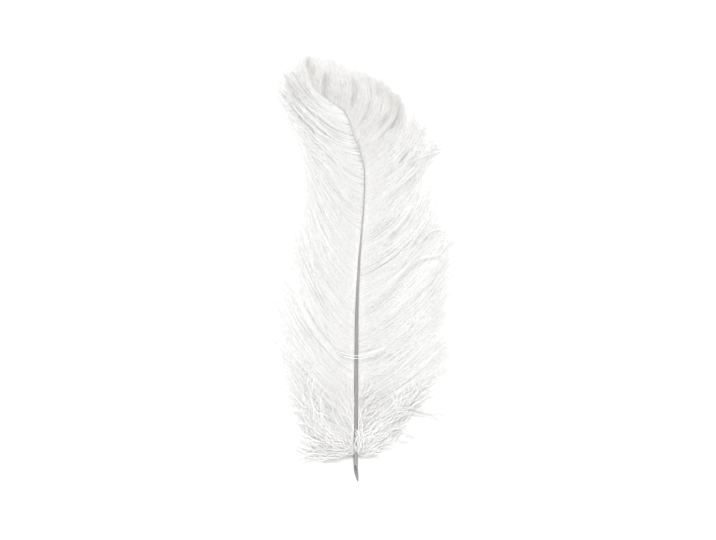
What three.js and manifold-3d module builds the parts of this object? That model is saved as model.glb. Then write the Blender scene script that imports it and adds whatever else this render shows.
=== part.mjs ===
// A white ostrich feather lying on a flat surface, its back upwards. A horny shaft, hollow and cut to a
// slant at the quill, carries a soft vane of long loose barbs on either side and down at the foot of each.
// Millimetres. +Y runs from the quill to the tip, +Z is up, and the surface is z = 0.
import * as THREE from "three";
import { mergeVertices } from "three/addons/utils/BufferGeometryUtils.js";
import Module from "manifold-3d";

const wasm = await Module();
wasm.setup();

// ---- driving dimensions ----
const GAP = 0.35; // between the shaft and the barbs beside it
const SHAFT_SIDES = 12;
const SHAFT_STEPS = 72;
const SHAFT_SAMPLES = 600; // places on the centre line that a barb's root is looked up in
const BARBS_PER_GUIDE = 2; // rows of the vane's grid between one guide barb and the next
const STEPS_ALONG_BARB = 11;

// The shaft's centre line, from the cut end of the quill to the tip: [x, y, z].
const SHAFT_LINE = [
  [-4.0, -150.1, 1.18], [-5.1, -139, 1.5], [-5.3, -126, 2.4], [-5.1, -105, 4.5], [-5.0, -80, 6.9],
  [-4.9, -52, 8.9], [-4.4, -24, 10.4], [-2.9, 8, 11.5], [-0.6, 37, 12.2], [0.9, 58, 12.6], [0.6, 71, 12.9],
  [-2.6, 83, 13.2], [-6.5, 93, 13.5], [-9.8, 104, 13.8], [-14.6, 111, 14.0], [-23, 117, 14.0],
  [-31, 123.2, 13.2], [-36.2, 130.6, 11.4], [-38.4, 138, 8.8], [-39.0, 144, 6.2],
];
// Half the shaft's width at a given y, tapering from the quill to a hair at the tip: [y, half width].
const SHAFT_TAPER = [
  [-149, 1.2], [-142, 1.48], [-130, 1.52], [-112, 1.42], [-70, 1.36], [-35, 1.22], [-10, 0.98], [20, 0.76],
  [45, 0.58], [70, 0.46], [95, 0.4], [115, 0.34], [132, 0.26], [145, 0.16],
];
const SHAFT_DEPTH = 0.94; // height of the section over its width
const GROOVE_DEPTH = 0.2; // of the furrow along the shaft's back, as a share of the half width
const GROOVE_HALF_WIDTH = 0.5; // the same share
const GROOVE_FADE = 60; // length of shaft over which the furrow runs out
const GROOVE_END_Y = 40; // the furrow has faded out here
const BORE_RADIUS = 0.92; // of the hollow inside the quill
const BORE_LENGTH = 24;
const SLANT_DEG = 14; // between the cut and the quill's own direction
const SLANT_ROLL_DEG = -28; // the cut faces up and a little to the left
const CUT_SIDEWAYS = 0.35; // of the cut's lowest point from the quill's middle
const CUT_DEPTH = 1.25; // of that point below the quill's middle
const OFFCUT_SIZE = 30; // larger than the whole quill end

// Guide barbs, from the foot of the feather to its tip. Each row says
// [y of its root on the shaft, x and y of its tip, degrees between it and the shaft where it leaves,
//  heading of its tip in degrees from +X, height of its arch above a plain droop].
const LEFT_GUIDES = [
  [-127.4, -44.8, -129.5, 96, 184, 1.0], [-121.1, -46.6, -116.5, 90, 166, 1.2],
  [-112.0, -49.2, -99.4, 86, 150, 1.4], [-101.5, -53.0, -82.0, 84, 136, 1.4],
  [-87.5, -57.8, -61.0, 82, 126, 1.2], [-73.5, -61.0, -41.0, 80, 118, 1.0],
  [-57.4, -61.2, -21.0, 80, 113, 1.0], [-38.5, -57.0, -2.0, 80, 109, 1.0],
  [-21.0, -50.0, 18.5, 80, 106, 1.0], [-1.4, -44.6, 39.5, 79, 103, 1.0],
  [17.5, -41.4, 60.0, 79, 102, 1.0], [36.4, -42.0, 79.0, 79, 105, 1.0],
  [52.5, -46.6, 95.0, 80, 112, 1.0], [66.5, -55.0, 109.0, 82, 122, 1.2],
  [80.5, -60.2, 120.0, 80, 130, 1.6], [93.1, -60.2, 130.0, 74, 130, 2.0],
  [105.0, -56.4, 137.9, 66, 122, 2.0], [114.1, -51.4, 143.6, 52, 114, 1.6],
  [122.5, -46.2, 147.2, 42, 106, 1.0], [133.0, -40.9, 148.9, 22, 94, 0.6],
];
const RIGHT_GUIDES = [
  [-127.4, 16.0, -129.4, 98, -6, 1.0], [-121.1, 31.6, -119.7, 92, 10, 1.2],
  [-112.0, 40.4, -105.0, 88, 25, 1.4], [-101.5, 48.6, -90.6, 85, 35, 1.4],
  [-89.6, 55.0, -75.0, 83, 42, 1.2], [-75.6, 59.6, -57.4, 81, 48, 1.0],
  [-59.5, 60.8, -38.5, 80, 52, 1.0], [-43.4, 61.2, -18.2, 80, 55, 1.0],
  [-26.6, 61.6, 1.4, 80, 58, 1.0], [-10.5, 61.0, 19.4, 79, 58, 1.2],
  [7.0, 57.0, 36.0, 79, 58, 1.2], [22.4, 51.6, 50.6, 78, 60, 1.2],
  [38.5, 48.0, 65.0, 78, 62, 1.4], [52.5, 48.6, 79.0, 77, 60, 1.6],
  [64.4, 45.8, 93.0, 77, 66, 2.0], [75.6, 38.8, 107.8, 76, 88, 2.8],
  [85.4, 29.6, 120.6, 75, 104, 3.4], [94.5, 18.6, 130.6, 74, 112, 3.6],
  [102.9, 5.0, 137.8, 70, 116, 3.4], [109.9, -9.1, 142.6, 64, 118, 2.8],
  [116.9, -21.0, 146.4, 52, 118, 2.0], [124.6, -31.4, 148.7, 38, 112, 1.2],
  [134.4, -37.9, 149.2, 18, 96, 0.6],
];
const DOWN_GUIDES = 2.45; // the down ends between these guides, counted from the foot
const VANE_START = 2.51; // and the vane starts just past it
const VANE_HALF_THICKNESS = { root: 1.5, edge: 1.15 };
const DOWN_HALF_THICKNESS = { root: 2.6, edge: 1.7 };
const BELLY = 1.3; // the barbs hang this many times further below their middle than they rise above it
const LANDS_AT = 0.86; // share of a barb's length where it comes down to the surface and lies along it
const EDGE_HEIGHT = 1.4; // height of the middle of the barbs there
const LEAVE_REACH = 0.42; // how long a barb keeps the heading of its root, as a share of its span
const ARRIVE_REACH = 0.36; // and the heading of its tip

// ---- shared maths ----
const mix = (a, b, t) => a + (b - a) * t;

const heading = (angle) => new THREE.Vector2(Math.cos(angle), Math.sin(angle));

// A smooth curve through evenly spaced values, read at a fractional place (Catmull-Rom).
function smoothThrough(values, place) {
  const i = Math.min(Math.floor(place), values.length - 2);
  const t = place - i;
  const [before, from, to, after] = [i - 1, i, i + 1, i + 2].map(
    (k) => values[Math.min(Math.max(k, 0), values.length - 1)],
  );
  const [leave, arrive] = [(to - before) / 2, (after - from) / 2];
  return (
    (2 * t ** 3 - 3 * t ** 2 + 1) * from + (t ** 3 - 2 * t ** 2 + t) * leave +
    (3 * t ** 2 - 2 * t ** 3) * to + (t ** 3 - t ** 2) * arrive
  );
}

function alongTable(table, y) {
  const k = Math.max(1, table.findIndex(([at], n) => n > 0 && at >= y));
  const [[y0, v0], [y1, v1]] = table.at(-1)[0] < y ? table.slice(-2) : [table[k - 1], table[k]];
  return mix(v0, v1, Math.min(1, (y - y0) / (y1 - y0)));
}

// The shaft always climbs in y, so y alone finds a place on it.
const shaftKnots = SHAFT_LINE.map((p) => new THREE.Vector3(...p));
const shaftLine = new THREE.CatmullRomCurve3(shaftKnots, false, "centripetal");
const shaftPoints = shaftLine.getSpacedPoints(SHAFT_SAMPLES);

function onShaft(y) {
  const k = Math.min(Math.max(shaftPoints.findIndex((p) => p.y >= y), 1), shaftPoints.length - 1);
  const [a, b] = [shaftPoints[k - 1], shaftPoints[k]];
  return {
    point: a.clone().lerp(b, (y - a.y) / (b.y - a.y)),
    along: b.clone().sub(a).normalize(),
    halfWidth: alongTable(SHAFT_TAPER, y),
  };
}

// ---- closed solids ----
function toManifold(geometry) {
  const bare = geometry.clone();
  bare.deleteAttribute("normal");
  bare.deleteAttribute("uv");
  const merged = mergeVertices(bare, 1e-4);
  return new wasm.Manifold(
    new wasm.Mesh({
      numProp: 3,
      vertProperties: new Float32Array(merged.attributes.position.array),
      triVerts: new Uint32Array(merged.index.array),
    }),
  );
}

function toGeometry(solid) {
  const mesh = solid.getMesh();
  const geometry = new THREE.BufferGeometry();
  geometry.setAttribute("position", new THREE.BufferAttribute(new Float32Array(mesh.vertProperties), 3));
  geometry.setIndex(new THREE.BufferAttribute(new Uint32Array(mesh.triVerts), 1));
  geometry.computeVertexNormals();
  return geometry;
}

// Moves every vertex of a geometry to place(x, y, z).
function bend(geometry, place) {
  const at = geometry.attributes.position;
  for (let i = 0; i < at.count; i++) {
    at.setXYZ(i, ...place(at.getX(i), at.getY(i), at.getZ(i)).toArray());
  }
  geometry.computeVertexNormals();
  return geometry;
}

// ---- shaft: quill and rachis, grown as one rod ----
// A unit rod is bent along the centre line. Its section narrows with the taper, and its back is furrowed.
function rodGeometry() {
  const circle = new THREE.Shape().absarc(0, 0, 1, 0, 2 * Math.PI);
  const rod = new THREE.ExtrudeGeometry(circle, {
    depth: 1,
    steps: SHAFT_STEPS,
    bevelEnabled: false,
    curveSegments: SHAFT_SIDES / 2, // a full circle takes two sides for each
  });
  return bend(rod, (x, y, z) => {
    const centre = shaftLine.getPointAt(z);
    const along = shaftLine.getTangentAt(z);
    const across = new THREE.Vector3(-along.y, along.x, 0).normalize();
    const up = along.clone().cross(across);
    const half = alongTable(SHAFT_TAPER, centre.y);
    const fade = Math.min(1, Math.max(0, (GROOVE_END_Y - centre.y) / GROOVE_FADE));
    const furrow = y > 0 ? GROOVE_DEPTH * fade * Math.max(0, 1 - (x / GROOVE_HALF_WIDTH) ** 2) : 0;
    return centre.addScaledVector(across, half * x).addScaledVector(up, half * SHAFT_DEPTH * (y - furrow));
  });
}

// The hollow of the quill, and everything above the slanting cut.
function cutQuill(rod) {
  const { point, along } = onShaft(SHAFT_LINE[0][1] + 0.5);
  const pose = new THREE.Matrix4()
    .makeTranslation(point)
    .multiply(new THREE.Matrix4().makeRotationFromQuaternion(
      new THREE.Quaternion().setFromUnitVectors(new THREE.Vector3(0, 1, 0), along),
    ));
  const bore = new THREE.CylinderGeometry(BORE_RADIUS, BORE_RADIUS, 2 * BORE_LENGTH, SHAFT_SIDES)
    .applyMatrix4(pose);
  const offcut = new THREE.BoxGeometry(OFFCUT_SIZE, OFFCUT_SIZE, OFFCUT_SIZE)
    .translate(0, 0, OFFCUT_SIZE / 2)
    .rotateX(THREE.MathUtils.degToRad(SLANT_DEG))
    .rotateY(THREE.MathUtils.degToRad(SLANT_ROLL_DEG))
    .translate(CUT_SIDEWAYS, 0, -CUT_DEPTH)
    .applyMatrix4(pose);
  return toGeometry(toManifold(rod).subtract(toManifold(bore)).subtract(toManifold(offcut)));
}

// ---- vanes and down: the space that the barbs fill ----
// A point in the middle of the barbs: place counts guide barbs from the foot, share runs from root to tip.
// Each barb is a cubic Bezier in plan, and falls from the shaft's height until it lies along the surface.
function onBarb(guides, side, place, share) {
  const [rootY, tipX, tipY, leaveDeg, tipDeg, arch] = guides[0].map((_, column) =>
    smoothThrough(guides.map((row) => row[column]), place),
  );
  const { point, along, halfWidth } = onShaft(rootY);
  const outwards = new THREE.Vector2(along.y, -along.x).multiplyScalar(side).normalize();
  const root = new THREE.Vector2(point.x, point.y).addScaledVector(outwards, halfWidth + GAP);
  const tip = new THREE.Vector2(tipX, tipY);
  const span = root.distanceTo(tip);
  const leave = Math.atan2(along.y, along.x) - side * THREE.MathUtils.degToRad(leaveDeg);
  const arrive = THREE.MathUtils.degToRad(tipDeg);
  const first = root.clone().add(heading(leave).multiplyScalar(LEAVE_REACH * span));
  const second = tip.clone().sub(heading(arrive).multiplyScalar(ARRIVE_REACH * span));
  const plan = new THREE.CubicBezierCurve(root, first, second, tip).getPoint(share);
  const part = Math.min(1, share / LANDS_AT);
  const fall = (1 - part) ** 2 * (1 + 2 * part);
  const height = mix(EDGE_HEIGHT, point.z, fall) + 4 * arch * part * (1 - part);
  return new THREE.Vector3(plan.x, plan.y, height);
}

// A slab bent over the barbs from one guide to another; its underside stops at the surface.
function barbSolid(guides, side, from, to, thickness) {
  const rows = Math.round((to - from) * BARBS_PER_GUIDE);
  const slab = new THREE.BoxGeometry(1, 1, 1, STEPS_ALONG_BARB, rows, 1);
  return bend(slab, (x, y, z) => {
    const share = 0.5 + side * x;
    const centre = onBarb(guides, side, mix(from, to, y + 0.5), share);
    const half = mix(thickness.root, thickness.edge, share);
    centre.z = z > 0 ? centre.z + half : Math.max(0, centre.z - half * BELLY);
    return centre;
  });
}

// ---- the feather ----
const feather = new THREE.Group();

function addPiece(name, geometry, material) {
  const piece = new THREE.Mesh(geometry, material);
  piece.name = name;
  feather.add(piece);
}

const horn = new THREE.MeshStandardMaterial({ color: 0xa6a4a0, roughness: 0.42, metalness: 0 });
const barb = new THREE.MeshStandardMaterial({ color: 0xf2f1ee, roughness: 0.8, metalness: 0 });
const fluff = new THREE.MeshStandardMaterial({ color: 0xf0efeb, roughness: 0.9, metalness: 0 });

addPiece("shaft", cutQuill(rodGeometry()), horn);
for (const [name, guides, side] of [["left", LEFT_GUIDES, -1], ["right", RIGHT_GUIDES, 1]]) {
  const last = guides.length - 1;
  addPiece(`vane_${name}`, barbSolid(guides, side, VANE_START, last, VANE_HALF_THICKNESS), barb);
  addPiece(`down_${name}`, barbSolid(guides, side, 0, DOWN_GUIDES, DOWN_HALF_THICKNESS), fluff);
}

export default feather;
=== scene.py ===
"""A white ostrich plume lying on a pale surface with its back upwards, in metres, +Y from quill to tip."""

import bpy
import numpy as np
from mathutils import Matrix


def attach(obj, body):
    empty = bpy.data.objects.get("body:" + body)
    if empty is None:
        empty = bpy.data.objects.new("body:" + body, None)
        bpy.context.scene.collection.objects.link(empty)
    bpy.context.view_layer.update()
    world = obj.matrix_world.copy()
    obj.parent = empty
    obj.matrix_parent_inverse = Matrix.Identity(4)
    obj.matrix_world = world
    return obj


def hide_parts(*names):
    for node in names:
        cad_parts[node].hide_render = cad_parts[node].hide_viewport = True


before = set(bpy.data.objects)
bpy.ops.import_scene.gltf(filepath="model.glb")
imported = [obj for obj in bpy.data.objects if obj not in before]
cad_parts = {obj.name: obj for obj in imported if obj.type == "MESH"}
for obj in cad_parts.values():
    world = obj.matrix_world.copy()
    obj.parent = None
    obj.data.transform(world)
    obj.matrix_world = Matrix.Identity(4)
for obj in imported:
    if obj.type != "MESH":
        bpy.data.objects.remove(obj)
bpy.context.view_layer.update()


# ---- Shaft ----------------------------------------------------------------------------------------------
# The quill and the rachis are one tapering rod of grey horn, furrowed along its back. The quill is a hollow
# tube, cut off to a slant so that its wall and the inside of its bore show. The barbs grow out of its sides.
MM = 0.001  # one millimetre, in metres
SHAFT_LINE = MM * np.array([  # centre line from the cut end to the tip
    [-4.0, -150.1, 1.18], [-4.9, -139, 1.5], [-5.1, -126, 2.4], [-4.85, -105, 4.5], [-4.75, -80, 6.9],
    [-4.6, -52, 8.9], [-4.2, -24, 10.4], [-2.5, 8, 11.5], [-0.1, 37, 12.2], [1.1, 58, 12.6], [0.7, 71, 12.9],
    [-2.6, 83, 13.2], [-6.5, 93, 13.5], [-9.8, 104, 13.8], [-14.6, 111, 14.0], [-23, 117, 14.0],
    [-31, 123.2, 13.2], [-36.2, 130.6, 11.4], [-38.4, 138, 8.8], [-39.0, 144, 6.2],
])
SHAFT_TAPER = MM * np.array([  # y, half the width there
    [-149, 1.05], [-142, 1.32], [-130, 1.42], [-112, 1.4], [-70, 1.36], [-35, 1.18], [-10, 0.9], [20, 0.58],
    [45, 0.38], [70, 0.3], [95, 0.28], [115, 0.25], [132, 0.22], [145, 0.16],
])
SHAFT_DEPTH = 0.94  # height of the section over its width
FURROW_DEPTH = 0.26  # as a share of the shaft's half width
FURROW_HALF_WIDTH = 0.42  # as a share of the same
FURROW_FADE_IN = 30 * MM  # from the cut upwards
FURROW_FADE_OUT = 60 * MM
FURROW_END_Y = 40 * MM
BORE_RADIUS = 0.98 * MM
BORE_LENGTH = 24 * MM
SLANT = np.radians(9.5)  # between the cut and the quill
SLANT_ROLL = np.radians(-28)  # the cut faces up and a little to the left
CUT_SETBACK = 0.5 * MM  # how far from the end of the centre line the cut begins
CUT_SIDEWAYS = 0.35 * MM  # its plane passes this far beside the centre line there
CUT_DEPTH = 1.25 * MM  # and this far below it
CUT_LENGTH = 20 * MM  # stretch of the quill over which its rings lean from the cut to square
RING_SIDES = 48
BORE_RINGS, CUT_RINGS, OUTER_RINGS = 8, 40, 420
LINE_POINTS = 4000  # at which the centre line is worked out


def smooth_through(rows, place):
    """Rows of values read at fractional places: the cubic that passes through each row, with the slope there
    of the line between the rows on either side of it (Catmull-Rom)."""
    rows = np.asarray(rows, float)
    last = len(rows) - 1
    start = np.clip(np.floor(place).astype(int), 0, last - 1)
    t = (place - start)[..., None]
    p0, p1, p2, p3 = (rows[np.clip(start + k, 0, last)] for k in (-1, 0, 1, 2))
    rise, run = (p2 - p0) / 2, (p3 - p1) / 2
    return ((2 * t**3 - 3 * t**2 + 1) * p1 + (t**3 - 2 * t**2 + t) * rise
            + (3 * t**2 - 2 * t**3) * p2 + (t**3 - t**2) * run)


def unit(vectors):
    """Vectors divided by their own lengths, where they have one."""
    return vectors / np.maximum(np.linalg.norm(vectors, axis=-1, keepdims=True), 1e-12)


def centre_line(knots, count):
    """Points on a centripetal Catmull-Rom curve: between two knots, a cubic whose end slopes weigh each side
    by the square root of its length. Both ends are carried on by one mirrored knot."""
    padded = np.vstack([2 * knots[0] - knots[1], knots, 2 * knots[-1] - knots[-2]])
    gap = np.sqrt(np.linalg.norm(np.diff(padded, axis=0), axis=1))[:, None]
    step = np.diff(padded, axis=0)
    span = padded[2:] - padded[:-2]
    slope = step[:-1] / gap[:-1] - span / (gap[:-1] + gap[1:]) + step[1:] / gap[1:]
    place = np.linspace(0, len(knots) - 1, count)
    k = np.minimum(place.astype(int), len(knots) - 2)
    t = (place - k)[:, None]
    rise, run = slope[k] * gap[k + 1], slope[k + 1] * gap[k + 1]
    return ((2 * t**3 - 3 * t**2 + 1) * knots[k] + (t**3 - 2 * t**2 + t) * rise
            + (3 * t**2 - 2 * t**3) * knots[k + 1] + (t**3 - t**2) * run)


shaft_points = centre_line(SHAFT_LINE, LINE_POINTS)
shaft_along = unit(np.gradient(shaft_points, axis=0))


def on_shaft(y):
    """The shaft's middle, its direction and its half width at a given y, on straight lines between its
    points. y climbs all the way along the shaft."""
    middle = np.stack([np.interp(y, shaft_points[:, 1], shaft_points[:, k]) for k in range(3)], axis=-1)
    along = unit(np.stack([np.interp(y, shaft_points[:, 1], shaft_along[:, k]) for k in range(3)], axis=-1))
    return middle, along, np.interp(y, SHAFT_TAPER[:, 0], SHAFT_TAPER[:, 1])


def new_mesh(name, points, quads=(), triangles=(), uv=None, smooth=True):
    """A mesh object from an array of points, rows of four and of three point numbers, and one uv a point."""
    mesh = bpy.data.meshes.new(name)
    quads, triangles = np.reshape(quads, (-1, 4)).astype(int), np.reshape(triangles, (-1, 3)).astype(int)
    corners = np.concatenate([quads.ravel(), triangles.ravel()])
    starts = np.concatenate([4 * np.arange(len(quads)), quads.size + 3 * np.arange(len(triangles))])
    mesh.vertices.add(len(points))
    mesh.vertices.foreach_set("co", np.ascontiguousarray(points, np.float32).ravel())
    mesh.loops.add(len(corners))
    mesh.loops.foreach_set("vertex_index", corners.astype(np.int32))
    mesh.polygons.add(len(starts))
    mesh.polygons.foreach_set("loop_start", starts.astype(np.int32))
    mesh.polygons.foreach_set("use_smooth", np.full(len(starts), smooth))
    if uv is not None:
        layer = mesh.uv_layers.new(name="OFBake")
        layer.uv.foreach_set("vector", np.ascontiguousarray(uv[corners], np.float32).ravel())
    mesh.update(calc_edges=True)
    mesh.validate()
    piece = bpy.data.objects.new(name, mesh)
    bpy.context.scene.collection.objects.link(piece)
    return piece


def grid_quads(rows, columns):
    """Quads between neighbours in a grid of points numbered row by row, whose columns close to a ring."""
    r, c = np.meshgrid(np.arange(rows - 1), np.arange(columns), indexing="ij")
    n = (c + 1) % columns
    return np.stack([r * columns + c, r * columns + n, (r + 1) * columns + n, (r + 1) * columns + c], -1)


def shaft_surface():
    """Rings of points round the centre line, from the end of the bore out to the cut, over its rim, and
    along the outside to the tip. Near the cut the rings lean: each of their points is slid along the quill
    until the last one lies on the slanting plane, which passes through low and is square to normal."""
    angle = 2 * np.pi * (np.arange(RING_SIDES) + 0.5) / RING_SIDES
    end_y = SHAFT_LINE[0, 1] + CUT_SETBACK
    end, end_along, _ = on_shaft(end_y)
    right = unit(np.array([end_along[1], -end_along[0], 0]))
    up = np.cross(right, end_along)
    rolled_right = np.cos(SLANT_ROLL) * right - np.sin(SLANT_ROLL) * up
    rolled_up = np.sin(SLANT_ROLL) * right + np.cos(SLANT_ROLL) * up
    normal = np.cos(SLANT) * rolled_up - np.sin(SLANT) * end_along
    low = end + CUT_SIDEWAYS * rolled_right - CUT_DEPTH * rolled_up

    def ring(y, radius=None):
        """A ring at each y: a circle flattened by SHAFT_DEPTH, with the furrow pressed into its top. A ring
        of the bore has its own radius and no furrow."""
        middle, along, half = on_shaft(y)
        side = unit(np.stack([along[..., 1], -along[..., 0], np.zeros_like(y)], -1))
        top = np.cross(side, along)
        half = half if radius is None else np.full_like(y, radius)
        fade_in = np.clip((y - end_y) / FURROW_FADE_IN, 0, 1)
        fade = np.clip((FURROW_END_Y - y) / FURROW_FADE_OUT, 0, 1) * fade_in
        pressed = np.maximum(0, 1 - (np.cos(angle) / FURROW_HALF_WIDTH) ** 2) ** 2 * (np.sin(angle) > 0)
        high = np.sin(angle) - (FURROW_DEPTH * fade[..., None] * pressed if radius is None else 0)
        return (middle[..., None, :] + (half[..., None] * np.cos(angle))[..., None] * side[..., None, :]
                + (half[..., None] * SHAFT_DEPTH * high)[..., None] * top[..., None, :])

    def cut_start(radius):
        """How far each point of the first ring is slid along the quill to lie on the slanting plane."""
        first = ring(np.array([end_y]), radius)[0]
        return np.maximum(0, ((low - first) @ normal) / (end_along @ normal))

    def leaning(distance, radius):
        """Rings whose points start on the cut and are square to the quill CUT_LENGTH further on."""
        start = cut_start(radius)
        y = end_y + start * (1 - distance[:, None] / CUT_LENGTH) + distance[:, None]
        points = ring(y.ravel(), radius).reshape(len(distance), RING_SIDES, RING_SIDES, 3)
        return points[:, np.arange(RING_SIDES), np.arange(RING_SIDES)]

    near = np.linspace(0, CUT_LENGTH, CUT_RINGS)
    far = np.linspace(end_y + CUT_LENGTH, SHAFT_LINE[-1, 1], OUTER_RINGS)[1:]
    bore = np.linspace(end_y + CUT_LENGTH, end_y + BORE_LENGTH, BORE_RINGS)[1:]
    inner = np.concatenate([ring(bore[::-1], BORE_RADIUS), leaning(near[::-1], BORE_RADIUS)])
    return np.concatenate([inner, leaning(near, None), ring(far)])


rings = shaft_surface()
count = len(rings)
shaft_ends = np.stack([rings[0].mean(0), rings[-1].mean(0)])
cap = np.arange(RING_SIDES)
cap_next = (cap + 1) % RING_SIDES
tip_start = (count - 1) * RING_SIDES
shaft = new_mesh(
    "shaft_horn",
    np.concatenate([rings.reshape(-1, 3), shaft_ends]),
    quads=grid_quads(count, RING_SIDES),
    triangles=np.concatenate([
        np.stack([cap_next, cap, np.full(RING_SIDES, count * RING_SIDES)], -1),
        np.stack([tip_start + cap, tip_start + cap_next, np.full(RING_SIDES, count * RING_SIDES + 1)], -1),
    ]),
)


class Wire:
    """One socket of a material's nodes. Sums and products of wires and numbers add Math nodes."""

    def __init__(self, tree, socket=None):
        self.tree, self.socket = tree, socket

    def node(self, kind, settings=None, values=None, out=0):
        """Adds a node: its settings first, then the values or wires of its sockets. Returns a wire of one of
        its outputs."""
        made = self.tree.nodes.new(kind)
        for name, value in (settings or {}).items():
            if name == "stops":
                while len(made.color_ramp.elements) < len(value):
                    made.color_ramp.elements.new(0.5)
                for element, (place, colour) in zip(made.color_ramp.elements, value):
                    element.position, element.color = place, (*colour, 1)
            else:
                setattr(made, name, value)
        for name, value in (values or {}).items():
            if isinstance(value, Wire):
                self.tree.links.new(value.socket, made.inputs[name])
            else:
                made.inputs[name].default_value = value
        return Wire(self.tree, made.outputs[out]) if made.outputs else None

    def maths(self, operation, first, second):
        return self.node("ShaderNodeMath", {"operation": operation}, {0: first, 1: second})

    def __add__(self, other):
        return self.maths("ADD", self, other)

    def __radd__(self, other):
        return self.maths("ADD", other, self)

    def __sub__(self, other):
        return self.maths("SUBTRACT", self, other)

    def __rsub__(self, other):
        return self.maths("SUBTRACT", other, self)

    def __mul__(self, other):
        return self.maths("MULTIPLY", self, other)

    def __rmul__(self, other):
        return self.maths("MULTIPLY", other, self)

    def part(self, name):
        """One of X, Y and Z of a vector."""
        return self.node("ShaderNodeSeparateXYZ", values={"Vector": self}, out=name)

    def stretched(self, x, y, z):
        """A vector with each part scaled."""
        return self.node("ShaderNodeMapping", values={"Vector": self, "Scale": (x, y, z)})


def new_material(name):
    """An empty material, and a wire to add its nodes with."""
    material = bpy.data.materials.new(name)
    material.use_nodes = True
    material.node_tree.nodes.clear()
    return material, Wire(material.node_tree)


PLUME_LENGTH = 0.3  # metres, rounded, along which the tones of the horn are placed


def horn():
    """Grey horn: darker towards the quill and nearly white at the tip, with fine streaks along it."""
    material, wire = new_material("shaft_horn")
    place = wire.node("ShaderNodeTexCoord", out="Object")
    streaks = wire.node("ShaderNodeTexNoise", values={
        "Vector": place.stretched(1, 0.02, 1), "Scale": 2600.0, "Detail": 3.0, "Roughness": 0.6}, out="Fac")
    blotches = wire.node("ShaderNodeTexNoise", values={
        "Vector": place.stretched(1, 0.25, 1), "Scale": 260.0, "Detail": 2.0}, out="Fac")
    along = place.part("Y") * (1 / PLUME_LENGTH) + 0.5
    tone = wire.node("ShaderNodeValToRGB", {"stops": [
        (0.0, (0.19, 0.187, 0.18)), (0.09, (0.175, 0.172, 0.167)), (0.45, (0.18, 0.178, 0.173)),
        (0.62, (0.25, 0.248, 0.243)), (0.8, (0.36, 0.357, 0.35)), (1.0, (0.42, 0.417, 0.41))]},
        {"Fac": along + (blotches - 0.5) * 0.12}, out="Color")
    grain = wire.node("ShaderNodeMix", {"data_type": "RGBA", "blend_type": "MULTIPLY"},
                      {"Factor": 0.55, "A": tone, "B": wire.node("ShaderNodeValToRGB", {"stops": [
                          (0.3, (0.72, 0.71, 0.69)), (0.62, (1.12, 1.12, 1.12))]},
                          {"Fac": streaks}, out="Color")}, out=2)
    bump = wire.node("ShaderNodeBump", values={"Strength": 0.35, "Distance": 0.00006, "Height": streaks})
    skin = wire.node("ShaderNodeBsdfPrincipled", values={
        "Base Color": grain, "Roughness": streaks * 0.25 + 0.28, "Normal": bump, "Coat Weight": 0.25,
        "Coat Roughness": 0.3})
    wire.node("ShaderNodeOutputMaterial", values={"Surface": skin})
    return material


shaft.data.materials.append(horn())
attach(shaft, "root")
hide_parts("shaft")


# ---- Vanes ----------------------------------------------------------------------------------------------
# On either side of the shaft stand loose barbs of white keratin, about one to the millimetre, each with two
# rows of long soft barbules that don't hook together. They grow out of the shaft's sides, droop to the
# surface and gather in locks towards their tips.

# Guide barbs, foot to tip, in millimetres: y of the root, x and y of the tip, degrees between the shaft and
# the barb where it leaves, heading of its tip in degrees from +X, height of its arch, and for what share of
# its span it keeps the direction that it leaves in.
LEFT_GUIDES = np.array([
    [-128, -29.0, -133.5, 100, 184, 1.0, 0.30], [-127, -35.5, -125.0, 92, 166, 1.2, 0.26],
    [-125, -41.0, -112.0, 84, 146, 1.4, 0.22], [-122, -49.0, -95.0, 78, 130, 1.6, 0.20],
    [-117, -52.5, -79.0, 74, 122, 1.6, 0.18], [-110, -57.5, -61.0, 72, 120, 1.4, 0.16],
    [-100, -61.0, -43.0, 72, 121, 1.2, 0.15], [-88, -61.0, -24.0, 72, 118, 1.2, 0.15],
    [-74, -58.0, -6.5, 72, 112, 1.2, 0.15], [-58, -48.8, 10.0, 72, 106, 1.2, 0.15],
    [-42, -46.5, 28.0, 72, 103, 1.2, 0.15], [-24, -40.8, 45.0, 72, 98, 1.2, 0.14],
    [-6, -38.4, 62.0, 72, 97, 1.2, 0.13], [12, -40.4, 80.0, 72, 103, 1.2, 0.13],
    [30, -45.4, 96.0, 74, 112, 1.4, 0.14], [46, -51.4, 107.5, 76, 122, 1.6, 0.18],
    [62, -56.8, 117.2, 76, 128, 1.8, 0.24], [78, -57.8, 126.6, 70, 128, 2.0, 0.26],
    [92, -55.8, 135.2, 62, 124, 2.0, 0.28], [104, -51.4, 141.8, 52, 116, 1.6, 0.3],
    [114, -47.4, 146.8, 42, 108, 1.0, 0.3], [126, -42.0, 148.9, 26, 98, 0.6, 0.3],
    [142.6, -39.8, 149.4, 12, 92, 0.2, 0.3],
])
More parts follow.
